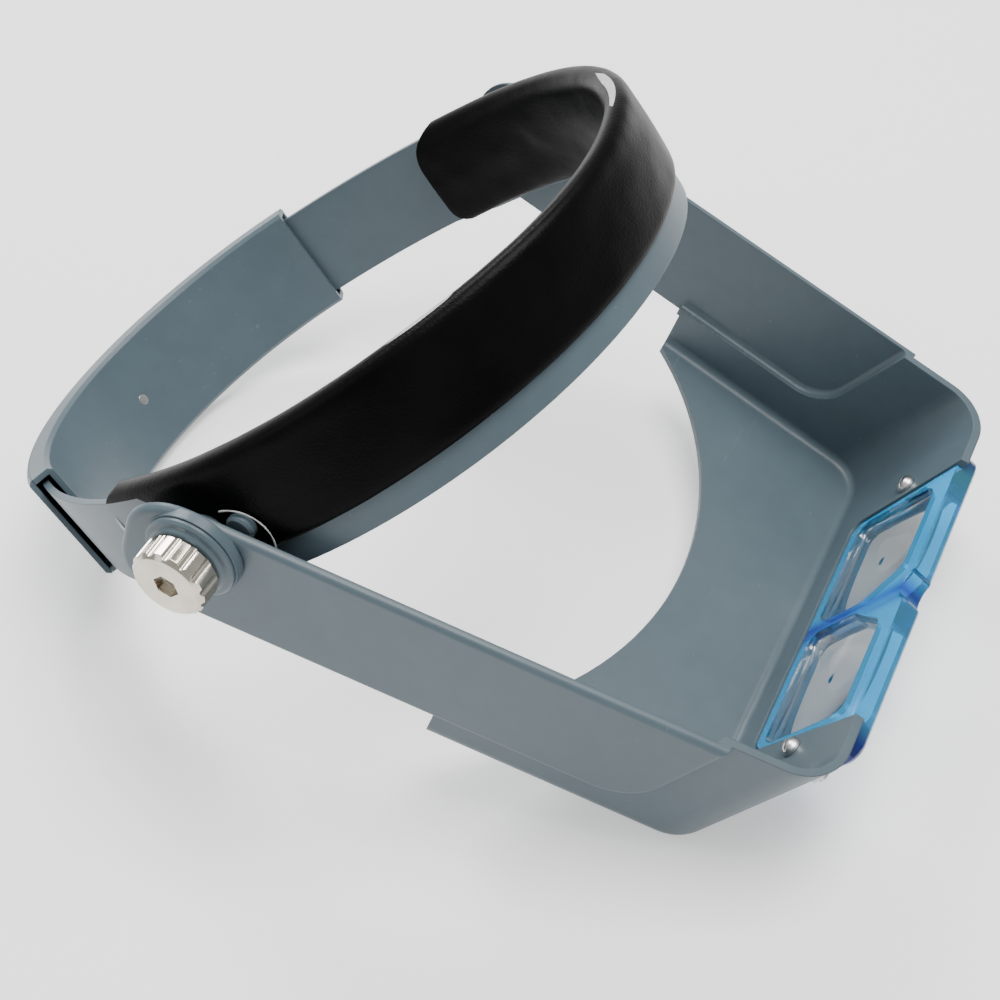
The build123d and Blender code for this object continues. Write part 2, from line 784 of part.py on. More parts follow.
# ---------------------------------------------------------------- how it lies
bt = radians(band_tilt)
band_turn = Plane((0, 0, 0), x_dir=(-1, 0, 0), z_dir=(0, sin(bt), cos(bt))).location
lying_band = {name: piece.moved(band_turn) for name, piece in band_pieces.items()}
pivot_up = -min(piece.bounding_box().min.Z for piece in lying_band.values())
edge_y = box_front + tan(lean) * panel_round - panel_round / cos(lean)
edge_z = panel_z + panel_round
reach = hypot(edge_y, edge_z)
ht = atan2(edge_z, edge_y) + asin((pivot_up - panel_round) / reach)
hood_turn = Plane((0, 0, 0), x_dir=(-1, 0, 0), z_dir=(0, -sin(ht), cos(ht))).location
lying_hood = {name: piece.moved(hood_turn) for name, piece in hood_pieces.items()}
lying = {**lying_hood, **lying_band}
boxes = [piece.bounding_box() for piece in lying.values()]
middle_y = (min(b.min.Y for b in boxes) + max(b.max.Y for b in boxes)) / 2
for name, piece in lying.items():
    placed = piece.moved(Location((0, -middle_y, pivot_up)))
    placed.label = name
    export_step(placed, f"parts/{name}.step")
    print(name, round(piece.volume, 1), len(piece.solids()), piece.is_valid)
print("fold angle", degrees(ht) + band_tilt, "hood tilt", degrees(ht))
print("pivot", (0, round(-middle_y, 3), round(pivot_up, 3)))
print("sizes", [round(max(getattr(b.max, a) for b in boxes) - min(getattr(b.min, a) for b in boxes), 1)
                for a in "XYZ"])
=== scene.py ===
"""Head visor magnifier: looks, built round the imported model."""

import json
import math

import bmesh
import bpy
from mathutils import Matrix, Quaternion, Vector, noise

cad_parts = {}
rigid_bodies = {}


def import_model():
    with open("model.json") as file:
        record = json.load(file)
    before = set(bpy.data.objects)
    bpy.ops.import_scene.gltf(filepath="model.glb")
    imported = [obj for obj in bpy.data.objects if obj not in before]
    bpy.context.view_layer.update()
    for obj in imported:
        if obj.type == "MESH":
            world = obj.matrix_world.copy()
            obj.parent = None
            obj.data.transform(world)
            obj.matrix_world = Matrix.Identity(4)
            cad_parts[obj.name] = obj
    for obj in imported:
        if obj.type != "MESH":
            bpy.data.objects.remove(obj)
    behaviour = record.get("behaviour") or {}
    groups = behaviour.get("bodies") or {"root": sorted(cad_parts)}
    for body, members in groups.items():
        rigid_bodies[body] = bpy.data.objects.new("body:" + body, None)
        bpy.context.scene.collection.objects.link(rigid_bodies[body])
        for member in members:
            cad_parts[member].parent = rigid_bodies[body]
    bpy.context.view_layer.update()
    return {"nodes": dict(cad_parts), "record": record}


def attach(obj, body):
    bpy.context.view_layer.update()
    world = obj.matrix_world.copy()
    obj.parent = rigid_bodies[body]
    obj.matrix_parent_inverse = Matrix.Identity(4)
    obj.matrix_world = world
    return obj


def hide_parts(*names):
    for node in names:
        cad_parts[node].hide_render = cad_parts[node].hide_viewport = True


bl_info = {
    "name": "Head Visor Magnifier",
    "version": (1, 0, 0),
    "blender": (4, 5, 0),
    "location": "View3D > Sidebar > Visor",
    "description": "Builds a head visor magnifier round its packed frame",
    "category": "Add Mesh",
}

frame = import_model()
NODES = frame["nodes"]
MM = 0.001

JOINTS = {joint["name"]: joint for joint in frame["record"]["behaviour"]["joints"]}
PIVOT = Vector(JOINTS["hood_tilt"]["pos_m"])
PAD_UP = Vector(JOINTS["left_rack_travel"]["axis"]).normalized()
PAD_FORWARD = Vector((-1.0, 0.0, 0.0)).cross(PAD_UP) * -1.0
BAND_CENTRE_Y = -4.9 * MM
BAND_RADIUS = 79.5 * MM
SIDE_RADIUS = 130.0 * MM

PLATE_HALF = 51.0 * MM

# The pad: how far it runs along each side, its section as (outwards, up), its round recesses as
# (forward, up, radius, near, far), and the shapes that trim its ends and its outer flap, in mm.
PAD_SIDE_LENGTH = 26.1 * MM
PAD_SECTION = (
    (-1.25, -14.6),
    (-1.25, 13.95),
    (1.25, 13.95),
    (1.25, -8.5),
    (2.0, -8.9),
    (2.8, -8.2),
    (3.0, 4.0),
    (2.8, 13.2),
    (2.2, 14.7),
    (0.9, 15.6),
    (-1.2, 15.9),
    (-3.3, 15.5),
    (-4.7, 14.3),
    (-5.3, 12.0),
    (-5.7, 0.0),
    (-5.3, -10.5),
    (-4.4, -13.9),
    (-3.2, -14.8),
)
PAD_RECESSES = (
    (0.0, 0.0, 5.9, 75.9, 79.0),
    (0.0, 0.0, 5.75, 79.0, 90.0),
    (9.8, -1.0, 3.75, 79.0, 90.0),
)

END_TOP_RADIUS = 13.0 * MM
END_LOW_RADIUS = 6.0 * MM
END_TOP = 16.2 * MM
END_LOW = -15.2 * MM
END_FRONT = (
    (100.0, 16.2),
    (100.0, 17.5),
    (110.0, 17.5),
    (110.0, -15.4),
    (100.0, -15.4),
    (100.0, -15.2),
)
ALL_ACROSS = 120.0 * MM
FLAP_INSIDE = 78.25 * MM
FLAP_OUTSIDE = 95.0 * MM
FLAP_END = ((-60.0, -20.0), (-8.0, -20.0), (-5.0, 0.0), (-8.5, 10.0), (-13.0, 12.9), (-60.0, 12.9))

MOULDED_NODES = ("hood", "head_band", "sleeve_shell", "sleeve_cover", "rear_knob")
TRIM_NODES = (
    "left_washer",
    "right_washer",
    "left_spacer",
    "right_spacer",
    "left_stop_peg",
    "right_stop_peg",
    "left_rack",
    "right_rack",
    "rear_pinion",
)
CHROME_NODES = ("left_knob", "right_knob")
STEEL_NODES = ("left_pivot_screw", "right_pivot_screw", "lens_screws", "lens_nuts", "rear_axle")


# ---------------------------------------------------------------- node helpers
def new_material(name):
    """An empty material and its tree, shader and output."""
    material = bpy.data.materials.new(name)
    material.use_nodes = True
    tree = material.node_tree
    tree.nodes.clear()
    output = tree.nodes.new("ShaderNodeOutputMaterial")
    shader = tree.nodes.new("ShaderNodeBsdfPrincipled")
    tree.links.new(shader.outputs["BSDF"], output.inputs["Surface"])
    return material, tree, shader, output


def node(tree, kind, inputs=None, **settings):
    """A node with its settings, and its inputs linked or set."""
    made = tree.nodes.new(kind)
    for key, value in settings.items():
        setattr(made, key, value)
    for key, value in (inputs or {}).items():
        if isinstance(value, bpy.types.NodeSocket):
            tree.links.new(value, made.inputs[key])
        else:
            made.inputs[key].default_value = value
    return made


def place(tree, scale=(1.0, 1.0, 1.0), rotation=(0.0, 0.0, 0.0)):
    """The surface's own position, stretched for a pattern."""
    where = node(tree, "ShaderNodeTexCoord")
    mapping = node(
        tree, "ShaderNodeMapping", {"Vector": where.outputs["Object"], "Scale": scale, "Rotation": rotation}
    )
    return mapping.outputs["Vector"]


def noise_at(tree, vector, scale, detail=3.0, rough=0.55):
    """Soft noise of features about one over scale metres wide."""
    made = node(
        tree, "ShaderNodeTexNoise", {"Vector": vector, "Scale": scale, "Detail": detail, "Roughness": rough}
    )
    return made.outputs["Fac"]


def ramp(tree, value, stops):
    """A colour or grey ramp from (position, colour) stops."""
    made = node(tree, "ShaderNodeValToRGB", {"Fac": value})
    elements = made.color_ramp.elements
    while len(elements) < len(stops):
        elements.new(0.5)
    for element, (position, colour) in zip(elements, stops):
        element.position = position
        if isinstance(colour, (int, float)):
            colour = (colour, colour, colour)
        element.color = (*colour[:3], 1.0)
    return made.outputs["Color"]


def mix(tree, factor, first, second, blend="MIX"):
    """Two colours mixed."""
    made = node(tree, "ShaderNodeMix", data_type="RGBA", blend_type=blend)
    for index, value in ((0, factor), (6, first), (7, second)):
        if isinstance(value, bpy.types.NodeSocket):
            tree.links.new(value, made.inputs[index])
        elif index == 0:
            made.inputs[index].default_value = value
        else:
            made.inputs[index].default_value = (*value[:3], 1.0)
    return made.outputs[2]


def sums(tree, operation, first, second):
    """One arithmetic step."""
    made = node(tree, "ShaderNodeMath", {0: first, 1: second}, operation=operation)
    return made.outputs["Value"]


def soft_edges(tree, radius):
    """A normal that rounds sharp edges by this radius."""
    made = node(tree, "ShaderNodeBevel", {"Radius": radius}, samples=6)
    return made.outputs["Normal"]


def bump(tree, height, distance, strength=1.0, normal=None):
    """A bump of this depth in metres."""
    inputs = {"Height": height, "Distance": distance, "Strength": strength}
    if normal is not None:
        inputs["Normal"] = normal
    return node(tree, "ShaderNodeBump", inputs).outputs["Normal"]


# ---------------------------------------------------------------- finishes
def moulded_plastic(name, colour, edge=0.5 * MM):
    """Satin moulded plastic: mottled tone, orange-peel skin, fine scratches and dust."""
    material, tree, shader, _ = new_material(name)
    cloudy = noise_at(tree, place(tree), 22.0, 4.0)
    fine = noise_at(tree, place(tree), 160.0, 3.0)
    darker = tuple(c * 0.90 for c in colour)
    lighter = tuple(c * 1.07 for c in colour)
    tone = ramp(tree, cloudy, [(0.30, darker), (0.70, lighter)])
    tone = mix(tree, 0.35, tone, ramp(tree, fine, [(0.35, darker), (0.65, lighter)]))
    scratch = noise_at(tree, place(tree, (40.0, 900.0, 900.0), (0.3, 0.2, 0.5)), 1.0, 2.0)
    scratch_mask = ramp(tree, scratch, [(0.70, 0.0), (0.74, 1.0)])
    patch = ramp(tree, noise_at(tree, place(tree), 14.0, 1.0), [(0.52, 0.0), (0.62, 1.0)])
    scratch_mask = sums(tree, "MULTIPLY", scratch_mask, patch)
    specks = node(
        tree, "ShaderNodeTexVoronoi", {"Vector": place(tree), "Scale": 230.0, "Randomness": 1.0}
    )
    dust = ramp(tree, specks.outputs["Distance"], [(0.035, 1.0), (0.06, 0.0)])
    chosen = ramp(tree, noise_at(tree, place(tree), 75.0, 1.0), [(0.60, 0.0), (0.64, 1.0)])
    dust = sums(tree, "MULTIPLY", dust, chosen)
    pale = tuple(min(1.0, c * 1.9 + 0.05) for c in colour)
    tone = mix(tree, sums(tree, "MULTIPLY", scratch_mask, 0.30), tone, pale)
    tone = mix(tree, sums(tree, "MULTIPLY", dust, 0.55), tone, pale)
    tree.links.new(tone, shader.inputs["Base Color"])
    gloss = ramp(tree, cloudy, [(0.25, 0.34), (0.75, 0.46)])
    gloss = mix(tree, dust, gloss, (0.8, 0.8, 0.8))
    tree.links.new(gloss, shader.inputs["Roughness"])
    shader.inputs["Specular IOR Level"].default_value = 0.38
    skin = noise_at(tree, place(tree), 2600.0, 2.0)
    ripple = noise_at(tree, place(tree), 320.0, 2.0)
    relief = sums(tree, "ADD", skin, sums(tree, "MULTIPLY", ripple, 1.4))
    relief = sums(tree, "SUBTRACT", relief, sums(tree, "MULTIPLY", scratch_mask, 0.5))
    normal = bump(tree, relief, 0.02 * MM, 0.6, soft_edges(tree, edge))
    tree.links.new(normal, shader.inputs["Normal"])
    return material


def leathercloth(name):
    """Black leathercloth: fine pebbled grain, a few soft creases, a worn sheen."""
    material, tree, shader, _ = new_material(name)
    cloudy = noise_at(tree, place(tree), 45.0, 3.0)
    tone = ramp(tree, cloudy, [(0.3, (0.0010, 0.0010, 0.0012)), (0.7, (0.0024, 0.0023, 0.0024))])
    tree.links.new(tone, shader.inputs["Base Color"])
    gloss = ramp(tree, cloudy, [(0.3, 0.32), (0.7, 0.42)])
    tree.links.new(gloss, shader.inputs["Roughness"])
    shader.inputs["Specular IOR Level"].default_value = 0.05
    pebbles = node(tree, "ShaderNodeTexVoronoi", {"Vector": place(tree), "Scale": 1500.0})
    grain = ramp(tree, pebbles.outputs["Distance"], [(0.0, 1.0), (0.75, 0.0)])
    creases = noise_at(tree, place(tree, (50.0, 50.0, 190.0)), 1.0, 3.0)
    relief = sums(tree, "ADD", grain, sums(tree, "MULTIPLY", creases, 3.0))
    tree.links.new(bump(tree, relief, 0.05 * MM, 0.6), shader.inputs["Normal"])
    return material


def plated(name):
    """Bright plating with faint turning marks and handling haze."""
    material, tree, shader, _ = new_material(name)
    haze = noise_at(tree, place(tree), 180.0, 3.0)
    tone = ramp(tree, haze, [(0.3, (0.50, 0.46, 0.39)), (0.7, (0.64, 0.59, 0.51))])
    tree.links.new(tone, shader.inputs["Base Color"])
    shader.inputs["Metallic"].default_value = 1.0
    gloss = ramp(tree, haze, [(0.3, 0.10), (0.7, 0.22)])
    tree.links.new(gloss, shader.inputs["Roughness"])
    marks = noise_at(tree, place(tree, (3000.0, 250.0, 250.0)), 1.0, 2.0)
    normal = bump(tree, marks, 0.01 * MM, 0.5, soft_edges(tree, 0.25 * MM))
    tree.links.new(normal, shader.inputs["Normal"])
    return material


def bright_steel(name):
    """Plain steel fasteners, brushed and a little dull."""
    material, tree, shader, _ = new_material(name)
    haze = noise_at(tree, place(tree), 220.0, 3.0)
    tone = ramp(tree, haze, [(0.3, (0.46, 0.46, 0.45)), (0.7, (0.60, 0.60, 0.59))])
    tree.links.new(tone, shader.inputs["Base Color"])
    shader.inputs["Metallic"].default_value = 1.0
    gloss = ramp(tree, haze, [(0.3, 0.24), (0.7, 0.38)])
    tree.links.new(gloss, shader.inputs["Roughness"])
    marks = noise_at(tree, place(tree, (4000.0, 300.0, 300.0)), 1.0, 2.0)
    normal = bump(tree, marks, 0.012 * MM, 0.6, soft_edges(tree, 0.2 * MM))
    tree.links.new(normal, shader.inputs["Normal"])
    return material


def blue_acrylic(name):
    """Clear blue acrylic, deepest at the plate's ends and beside the nose, with faint flow lines."""
    material, tree, shader, output = new_material(name)
    where = node(tree, "ShaderNodeTexCoord").outputs["Object"]
    across = node(tree, "ShaderNodeSeparateXYZ", {"Vector": where}).outputs["X"]
    across = sums(tree, "MULTIPLY", sums(tree, "ABSOLUTE", across, 0.0), 1.0 / PLATE_HALF)
    haze = noise_at(tree, place(tree), 60.0, 2.0)
    across = sums(tree, "ADD", across, sums(tree, "MULTIPLY", sums(tree, "SUBTRACT", haze, 0.5), 0.10))
    clear = (0.08, 0.60, 0.86)
    deep = (0.01, 0.05, 0.45)
    middling = (0.04, 0.25, 0.7)
    stops = [(0.0, deep), (0.03, middling), (0.07, clear), (0.84, clear), (0.95, deep)]
    tone = ramp(tree, across, stops)
    tree.links.new(tone, shader.inputs["Base Color"])
    shader.inputs["Transmission Weight"].default_value = 0.86
    shader.inputs["IOR"].default_value = 1.49
    gloss = ramp(tree, haze, [(0.3, 0.03), (0.7, 0.08)])
    tree.links.new(gloss, shader.inputs["Roughness"])
    flow = noise_at(tree, place(tree, (60.0, 500.0, 500.0)), 1.0, 2.0)
    normal = bump(tree, flow, 0.03 * MM, 0.5, soft_edges(tree, 0.4 * MM))
    tree.links.new(normal, shader.inputs["Normal"])
    depth = node(tree, "ShaderNodeVolumeAbsorption", {"Color": (0.04, 0.55, 0.88, 1.0), "Density": 150.0})
    tree.links.new(depth.outputs["Volume"], output.inputs["Volume"])
    return material


def lens_glass(name):
    """Clear optical plastic with a trace of cleaning haze."""
    material, tree, shader, output = new_material(name)
    haze = noise_at(tree, place(tree), 90.0, 3.0)
    tone = ramp(tree, haze, [(0.3, (0.93, 0.93, 0.90)), (0.7, (0.97, 0.97, 0.95))])
    tree.links.new(tone, shader.inputs["Base Color"])
    shader.inputs["Transmission Weight"].default_value = 1.0
    shader.inputs["IOR"].default_value = 1.12
    tree.links.new(ramp(tree, haze, [(0.3, 0.01), (0.7, 0.04)]), shader.inputs["Roughness"])
    wipes = noise_at(tree, place(tree, (80.0, 400.0, 80.0)), 1.0, 2.0)
    tree.links.new(bump(tree, wipes, 0.004 * MM, 0.4), shader.inputs["Normal"])
    shine = node(tree, "ShaderNodeBsdfGlossy", {"Roughness": 0.04})
    facing = node(tree, "ShaderNodeFresnel", {"IOR": 1.49}).outputs["Fac"]
    both = node(tree, "ShaderNodeMixShader", {0: sums(tree, "MULTIPLY", facing, 0.6)})
    tree.links.new(shader.outputs["BSDF"], both.inputs[1])
    tree.links.new(shine.outputs["BSDF"], both.inputs[2])
    tree.links.new(both.outputs["Shader"], output.inputs["Surface"])
    return material


def cut_foam(name):
    """The pale cut edge of foam and cloth backing."""
    material, tree, shader, _ = new_material(name)
    crumbs = noise_at(tree, place(tree), 1400.0, 3.0)
    tone = ramp(tree, crumbs, [(0.3, (0.30, 0.31, 0.31)), (0.7, (0.55, 0.56, 0.55))])
    tree.links.new(tone, shader.inputs["Base Color"])
    shader.inputs["Roughness"].default_value = 0.85
    tree.links.new(bump(tree, crumbs, 0.06 * MM), shader.inputs["Normal"])
    return material


def paint(names, material):
    """Gives CAD nodes a finish in every material slot."""
    for name in names:
        slots = NODES[name].material_slots
        if not slots:
            NODES[name].data.materials.append(material)
        for slot in slots:
            slot.material = material


# ---------------------------------------------------------------- mesh helpers
def only(obj):
    """Selects one object alone and makes it active."""
    for other in bpy.context.view_layer.objects:
        other.select_set(False)
    obj.select_set(True)
    bpy.context.view_layer.objects.active = obj


def apply_modifier(obj, kind, **settings):
    """Adds a modifier with its settings and applies it."""
    only(obj)
    modifier = obj.modifiers.new(kind.title(), kind)
    for key, value in settings.items():
        setattr(modifier, key, value)
    bpy.ops.object.modifier_apply(modifier=modifier.name)


def mesh_piece(name, points, faces):
    """A new piece from points and faces, with its normals turned outwards."""
    data = bpy.data.meshes.new(name)
    data.from_pydata([tuple(point) for point in points], [], faces)
    piece = bpy.data.objects.new(name, data)
    bpy.context.scene.collection.objects.link(piece)
    mesh = bmesh.new()
    mesh.from_mesh(data)
    bmesh.ops.recalc_face_normals(mesh, faces=mesh.faces)
    mesh.to_mesh(data)
    mesh.free()
    return piece


def joined_rings(rings):
    """All the points of equal closed rings, and the faces that join and cap them."""
    count = len(rings[0])
    faces = []
    for ring in range(len(rings) - 1):
        for step in range(count):
            after = (step + 1) % count
            faces.append(
                (
                    ring * count + step,
                    ring * count + after,
                    (ring + 1) * count + after,
                    (ring + 1) * count + step,
                )
            )
    faces.append(tuple(reversed(range(count))))
    faces.append(tuple(range((len(rings) - 1) * count, len(rings) * count)))
    return [point for ring in rings for point in ring], faces


def evenly(path, spacing):
    """Points at even spacing along a closed path of corners."""
    made = []
    for index, start in enumerate(path):
        end = path[(index + 1) % len(path)]
        length = math.dist(start, end)
        count = max(1, round(length / spacing))
        for step in range(count):
            share = step / count
            made.append(tuple(a + (b - a) * share for a, b in zip(start, end)))
    return made


def cut(piece, cutter, operation):
    """Cuts a piece with another closed form, which is then removed."""
    settings = {"operation": operation, "object": cutter, "solver": "EXACT"}
    apply_modifier(piece, "BOOLEAN", material_mode="TRANSFER", **settings)
    bpy.data.objects.remove(cutter)


def side_block(name, outline, low, high, material):
    """A closed block with a (forward, up) outline in the band frame, between two places across."""
    rings = [[from_band((across, *point)) for point in outline] for across in (low, high)]
    points, faces = joined_rings(rings)
    block = mesh_piece(name, points, faces)
    block.data.materials.append(material)
    return block


def round_outline(forward, up, radius, count=40):
    """A round (forward, up) outline in the band frame."""
    turns = [2.0 * math.pi * step / count for step in range(count)]
    return [(forward + radius * math.cos(turn), up + radius * math.sin(turn)) for turn in turns]


def corner_arc(forward, up, radius, start, end, count=10):
    """Points round one corner of an outline, between two angles in degrees."""
    turns = [math.radians(start + (end - start) * step / count) for step in range(count + 1)]
    return [(forward + radius * math.cos(turn), up + radius * math.sin(turn)) for turn in turns]


def pad_place(along, offset, up):
    """A point beside the band: a distance along it from the middle of the brow, outwards and up."""
    quarter = BAND_RADIUS * math.pi / 2.0
    side = 1.0 if along >= 0.0 else -1.0
    reach = abs(along)
    if reach <= quarter:
        angle = reach / BAND_RADIUS
        radius = BAND_RADIUS + offset
        return from_band((side * radius * math.sin(angle), BAND_CENTRE_Y + radius * math.cos(angle), up))
    angle = (reach - quarter) / SIDE_RADIUS
    radius = SIDE_RADIUS + offset
    across = BAND_RADIUS - SIDE_RADIUS + radius * math.cos(angle)
    return from_band((side * across, BAND_CENTRE_Y - radius * math.sin(angle), up))


def to_band(point):
    """A row-frame point in the band's own frame: across, forwards, towards the padded edge."""
    arm = point - PIVOT
    return Vector((-arm.x, arm.dot(PAD_FORWARD), arm.dot(PAD_UP)))


def from_band(point):
    """A point of the band's own frame in the row frame."""
    return PIVOT + Vector((-point[0], 0.0, 0.0)) + PAD_FORWARD * point[1] + PAD_UP * point[2]


def band_offset(local):
    """(distance outside the band's middle surface, outward direction) at a band-frame point."""
    if local.y >= BAND_CENTRE_Y:
        centre = Vector((0.0, BAND_CENTRE_Y))
        radius = BAND_RADIUS
    else:
        side = 1.0 if local.x > 0 else -1.0
        centre = Vector((side * (BAND_RADIUS - SIDE_RADIUS), BAND_CENTRE_Y))
        radius = SIDE_RADIUS
    arm = Vector((local.x, local.y)) - centre
    return arm.length - radius, Vector((arm.x, arm.y, 0.0)).normalized()


def fill_with_air(piece, pressure, frames, cap):
    """Swells a closed cloth form by simulation, with no point moving further than cap."""
    start = [v.co.copy() for v in piece.data.vertices]
    cloth = piece.modifiers.new("Cloth", "CLOTH")
    cloth.settings.quality = 4
    cloth.settings.mass = 0.3
    cloth.settings.tension_stiffness = 12.0
    cloth.settings.compression_stiffness = 12.0
    cloth.settings.shear_stiffness = 4.0
    cloth.settings.bending_stiffness = 0.4
    cloth.settings.use_pressure = True
    cloth.settings.uniform_pressure_force = pressure
    cloth.settings.effector_weights.gravity = 0.0
    cloth.point_cache.frame_start = 1
    cloth.point_cache.frame_end = frames
    scene = bpy.context.scene
    for number in range(1, frames + 1):
        scene.frame_set(number)
    shape = piece.evaluated_get(bpy.context.evaluated_depsgraph_get()).to_mesh()
    swollen = [v.co.copy() for v in shape.vertices]
    piece.modifiers.clear()
    for vertex, before, after in zip(piece.data.vertices, start, swollen):
        move = after - before
        if move.length > cap:
            move = move.normalized() * cap
        vertex.co = before + move
    scene.frame_set(1)


def keep_clear_of_band(piece, near, far):
    """Holds the pad's faces off the band and adds soft hand-laid waves."""
    for vertex in piece.data.vertices:
        local = to_band(vertex.co)
        offset, outward = band_offset(local)
        wave = noise.noise(Vector((local.x, local.y, local.z * 2.2)) * 70.0)
        wave += 0.5 * noise.noise(Vector((local.x, local.y, local.z * 0.6)) * 210.0)
        if offset < -near:
            local += outward * wave * 0.22 * MM
        elif offset > near:
            local += outward * (wave * 0.16 - 0.05) * MM
        offset, outward = band_offset(local)
        if local.z < far:
            if -3.0 * MM < offset < 0.0 and offset > -near:
                local += outward * (-near - offset)
            elif 0.0 <= offset < near:
                local += outward * (near - offset)
        vertex.co = from_band(local)
    piece.data.update()


def finished(piece, body, slot, materials, *nodes):
    """Gives a piece its finishes, its body and the CAD nodes that it stands for."""
    for material in materials:
        if material.name not in piece.data.materials:
            piece.data.materials.append(material)
    only(piece)
    bpy.ops.object.shade_smooth_by_angle(angle=math.radians(40.0))
    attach(piece, body)
    if nodes:
        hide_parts(*nodes)
    return piece


# ---------------------------------------------------------------- sizes and colours
class VisorSettings(bpy.types.PropertyGroup):
    """Sizes and colours of the moulded pieces and the pad."""

    plastic: bpy.props.FloatVectorProperty(
        name="Plastic",
        description="Colour of the moulded plastic",
        subtype="COLOR",
        size=3,
        default=(0.062, 0.090, 0.108),
    )
    grid: bpy.props.FloatProperty(
        name="Pad grid",
        description="Grid size of the pad's mesh",
        unit="LENGTH",
        subtype="DISTANCE",
        default=2.4 * MM,
    )
    swell: bpy.props.FloatProperty(
        name="Pad swell",
        description="Furthest that the pad's cover may swell",
        unit="LENGTH",
        subtype="DISTANCE",
        default=0.7 * MM,
    )


class StageSettings(bpy.types.PropertyGroup):
    """The studio."""

    floor: bpy.props.FloatVectorProperty(
        name="Floor", description="Colour of the floor", subtype="COLOR", size=3, default=(0.74, 0.74, 0.74)
    )
    floor_glow: bpy.props.FloatProperty(
        name="Floor glow", description="How brightly the backlit floor shines", default=0.55
    )
    key_power: bpy.props.FloatProperty(
        name="Key light", description="Power of the main soft light", subtype="POWER", default=29.0
    )


# ---------------------------------------------------------------- pieces
class VISOR_OT_shell(bpy.types.Operator):
    """Finish the hood, the headband and the other moulded pieces"""

    bl_idname = "visor.shell"
    bl_label = "Moulded pieces"

    def execute(self, context):
        colour = context.scene.visor.plastic
        paint(MOULDED_NODES, moulded_plastic("moulded_plastic", colour))
        trim = tuple(c * 1.04 for c in colour)
        paint(TRIM_NODES, moulded_plastic("trim_plastic", trim, 0.3 * MM))
        return {"FINISHED"}


class VISOR_OT_metal(bpy.types.Operator):
    """Finish the clamp knobs, screws and nuts"""

    bl_idname = "visor.metal"
    bl_label = "Knobs and screws"

    def execute(self, context):
        paint(CHROME_NODES, plated("plating"))
        paint(STEEL_NODES, bright_steel("bright_steel"))
        return {"FINISHED"}


class VISOR_OT_lenses(bpy.types.Operator):
    """Finish the lens plate and its two lenses"""

    bl_idname = "visor.lenses"
    bl_label = "Lens plate"

    def execute(self, context):
        paint(("lens_frame",), blue_acrylic("blue_acrylic"))
        paint(("left_lens", "right_lens"), lens_glass("lens_glass"))
        return {"FINISHED"}


class VISOR_OT_pad(bpy.types.Operator):
    """Make the brow pad: leathercloth over foam, wrapped over the band's edge"""

    bl_idname = "visor.pad"
    bl_label = "Brow pad"

    def execute(self, context):
        settings = context.scene.visor
        cloth = leathercloth("leathercloth")
        foam = cut_foam("cut_foam")
        section = [(offset * MM, up * MM) for offset, up in PAD_SECTION]
        section = evenly(section, settings.grid)
        reach = BAND_RADIUS * math.pi / 2.0 + PAD_SIDE_LENGTH + 3.0 * MM
        count = round(2.0 * reach / settings.grid)
        rings = []
        for step in range(count + 1):
            along = -reach + 2.0 * reach * step / count
            rings.append([pad_place(along, *point) for point in section])
        pad = mesh_piece("leathercloth_pad", *joined_rings(rings))
        pad.data.materials.append(cloth)
        fill_with_air(pad, 4.0, 10, settings.swell)
        apply_modifier(pad, "SUBSURF", levels=1, render_levels=1)
        apply_modifier(pad, "SMOOTH", factor=0.5, iterations=3)
        keep_clear_of_band(pad, 1.14 * MM, 13.7 * MM)
        back = to_band(pad_place(BAND_RADIUS * math.pi / 2.0 + PAD_SIDE_LENGTH, 0.0, 0.0)).y
        top_up = END_TOP - END_TOP_RADIUS
        low_up = END_LOW + END_LOW_RADIUS
        outline = corner_arc(back + END_TOP_RADIUS, top_up, END_TOP_RADIUS, 180.0, 90.0)
        outline += [(forward * MM, up * MM) for forward, up in END_FRONT]
        outline += corner_arc(back + END_LOW_RADIUS, low_up, END_LOW_RADIUS, 270.0, 180.0)
        cut(pad, side_block("ends", outline, -ALL_ACROSS, ALL_ACROSS, foam), "INTERSECT")
        for side in (1.0, -1.0):
            for forward, up, radius, near, far in PAD_RECESSES:
                hole = round_outline(forward * MM, up * MM, radius * MM)
                low, high = sorted((side * near * MM, side * far * MM))
                cut(pad, side_block("recess", hole, low, high, cloth), "DIFFERENCE")
            tab = [(forward * MM, up * MM) for forward, up in FLAP_END]
            low, high = sorted((side * FLAP_INSIDE, side * FLAP_OUTSIDE))
            cut(pad, side_block("flap_end", tab, low, high, foam), "DIFFERENCE")
        finished(pad, "headband", "pad", (cloth, foam), "brow_pad")
        for side, name in ((1.0, "left_cut_edge"), (-1.0, "right_cut_edge")):
            rings = []
            for step in range(49):
                share = step / 48.0
                turn = math.radians(84.0 - 140.0 * share)
                forward = (6.9 + 7.9 * math.cos(turn)) * MM
                up = (-3.9 + 8.4 * math.sin(turn)) * MM
                along = side * (BAND_RADIUS * math.pi / 2.0 + BAND_CENTRE_Y - forward)
                middle = pad_place(along, 3.05 * MM, up)
                outward = (pad_place(along, 4.05 * MM, up) - middle).normalized()
                slope = math.radians(10.0 - 152.0 * share)
                across = (PAD_FORWARD * math.cos(turn) + PAD_UP * math.sin(turn)).normalized()
                thick = 0.21 * MM * (1.0 + 0.15 * math.sin(9.0 * slope))
                ring = []
                for spoke in range(10):
                    angle = 2.0 * math.pi * spoke / 10.0
                    spread = outward * math.cos(angle) * thick * 0.8
                    ring.append(middle + spread + across * math.sin(angle) * thick)
                rings.append(ring)
            edge = mesh_piece(name, *joined_rings(rings))
            finished(edge, "headband", "pad", (foam,))
        return {"FINISHED"}


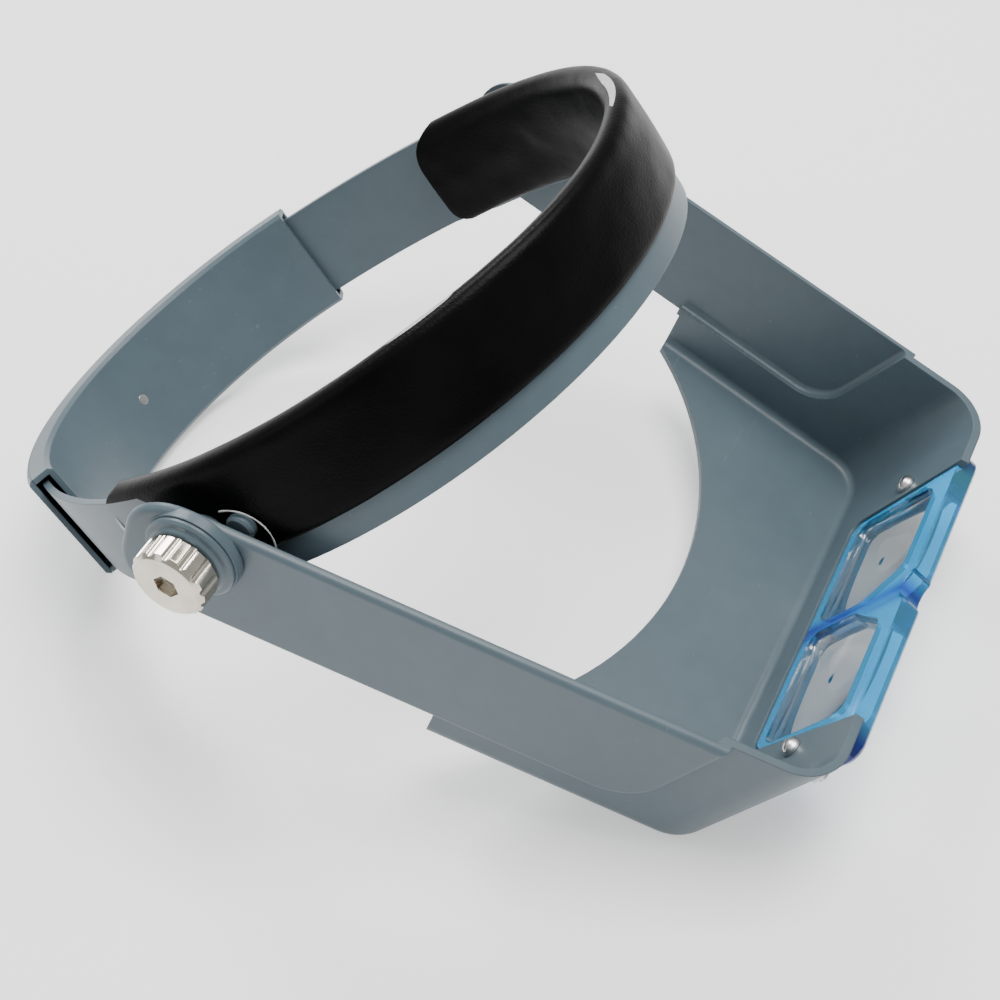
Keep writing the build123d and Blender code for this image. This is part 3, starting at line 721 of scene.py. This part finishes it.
class VISOR_OT_stage(bpy.types.Operator):
    """Lay the floor, set the lights and place the camera"""

    bl_idname = "visor.stage"
    bl_label = "Stage"

    def execute(self, context):
        settings = context.scene.visor_stage
        only(NODES["hood"])
        bpy.ops.mesh.primitive_plane_add(size=30.0, location=(0.0, 0.0, 0.0))
        floor = context.object
        floor.name = "floor"
        material, tree, shader, _ = new_material("floor")
        shader.inputs["Base Color"].default_value = (*settings.floor, 1.0)
        shader.inputs["Roughness"].default_value = 0.9
        shader.inputs["Specular IOR Level"].default_value = 0.1
        shader.inputs["Emission Color"].default_value = (1.0, 1.0, 1.0, 1.0)
        shader.inputs["Emission Strength"].default_value = settings.floor_glow
        floor.data.materials.append(material)
        for name, where, size, power, colour in (
            ("key", (0.15, -0.25, 1.35), 0.8, settings.key_power, (1.0, 0.99, 0.97)),
            ("fill", (-0.9, 0.9, 1.1), 0.9, 4.0, (0.94, 0.97, 1.0)),
            ("window", (0.55, 0.75, 0.9), 0.45, 12.0, (0.97, 0.99, 1.0)),
        ):
            light = bpy.data.lights.new(name, "AREA")
            light.shape = "SQUARE"
            light.size = size
            light.energy = power
            light.color = colour
            lamp = bpy.data.objects.new(name, light)
            context.scene.collection.objects.link(lamp)
            lamp.location = where
            aim = Vector((0.0, 0.0, 0.05)) - Vector(where)
            lamp.rotation_euler = aim.to_track_quat("-Z", "Y").to_euler()
        world = bpy.data.worlds.new("studio")
        context.scene.world = world
        world.use_nodes = True
        world.node_tree.nodes["Background"].inputs["Color"].default_value = (1.0, 1.0, 1.0, 1.0)
        world.node_tree.nodes["Background"].inputs["Strength"].default_value = 0.6
        lens = bpy.data.cameras.new("camera")
        lens.sensor_width = 36.0
        lens.lens = 62.68
        lens.clip_start = 0.01
        camera = bpy.data.objects.new("camera", lens)
        context.scene.collection.objects.link(camera)
        camera.location = (-0.28197, -0.15758, 0.34885)
        camera.rotation_euler = Quaternion((0.779536, 0.327501, -0.185612, -0.500614)).to_euler()
        context.scene.camera = camera
        return {"FINISHED"}


class VISOR_PT_panel(bpy.types.Panel):
    """The build steps, in order"""

    bl_idname = "VISOR_PT_panel"
    bl_label = "Head visor magnifier"
    bl_space_type = "VIEW_3D"
    bl_region_type = "UI"
    bl_category = "Visor"

    def draw(self, context):
        for step in STEPS:
            self.layout.operator(step.bl_idname)
        for group in (context.scene.visor, context.scene.visor_stage):
            for key in group.__annotations__:
                self.layout.prop(group, key)


STEPS = (VISOR_OT_shell, VISOR_OT_metal, VISOR_OT_lenses, VISOR_OT_pad, VISOR_OT_stage)
CLASSES = (VisorSettings, StageSettings, *STEPS, VISOR_PT_panel)


def register():
    """Registers the classes and the settings."""
    for cls in CLASSES:
        bpy.utils.register_class(cls)
    bpy.types.Scene.visor = bpy.props.PointerProperty(type=VisorSettings)
    bpy.types.Scene.visor_stage = bpy.props.PointerProperty(type=StageSettings)


def unregister():
    """Takes the settings and the classes away."""
    del bpy.types.Scene.visor_stage
    del bpy.types.Scene.visor
    for cls in reversed(CLASSES):
        bpy.utils.unregister_class(cls)


def main():
    """Builds every piece and the stage."""
    register()
    bpy.ops.visor.shell()
    bpy.ops.visor.metal()
    bpy.ops.visor.lenses()
    bpy.ops.visor.pad()
    bpy.ops.visor.stage()


if __name__ == "__main__":
    main()
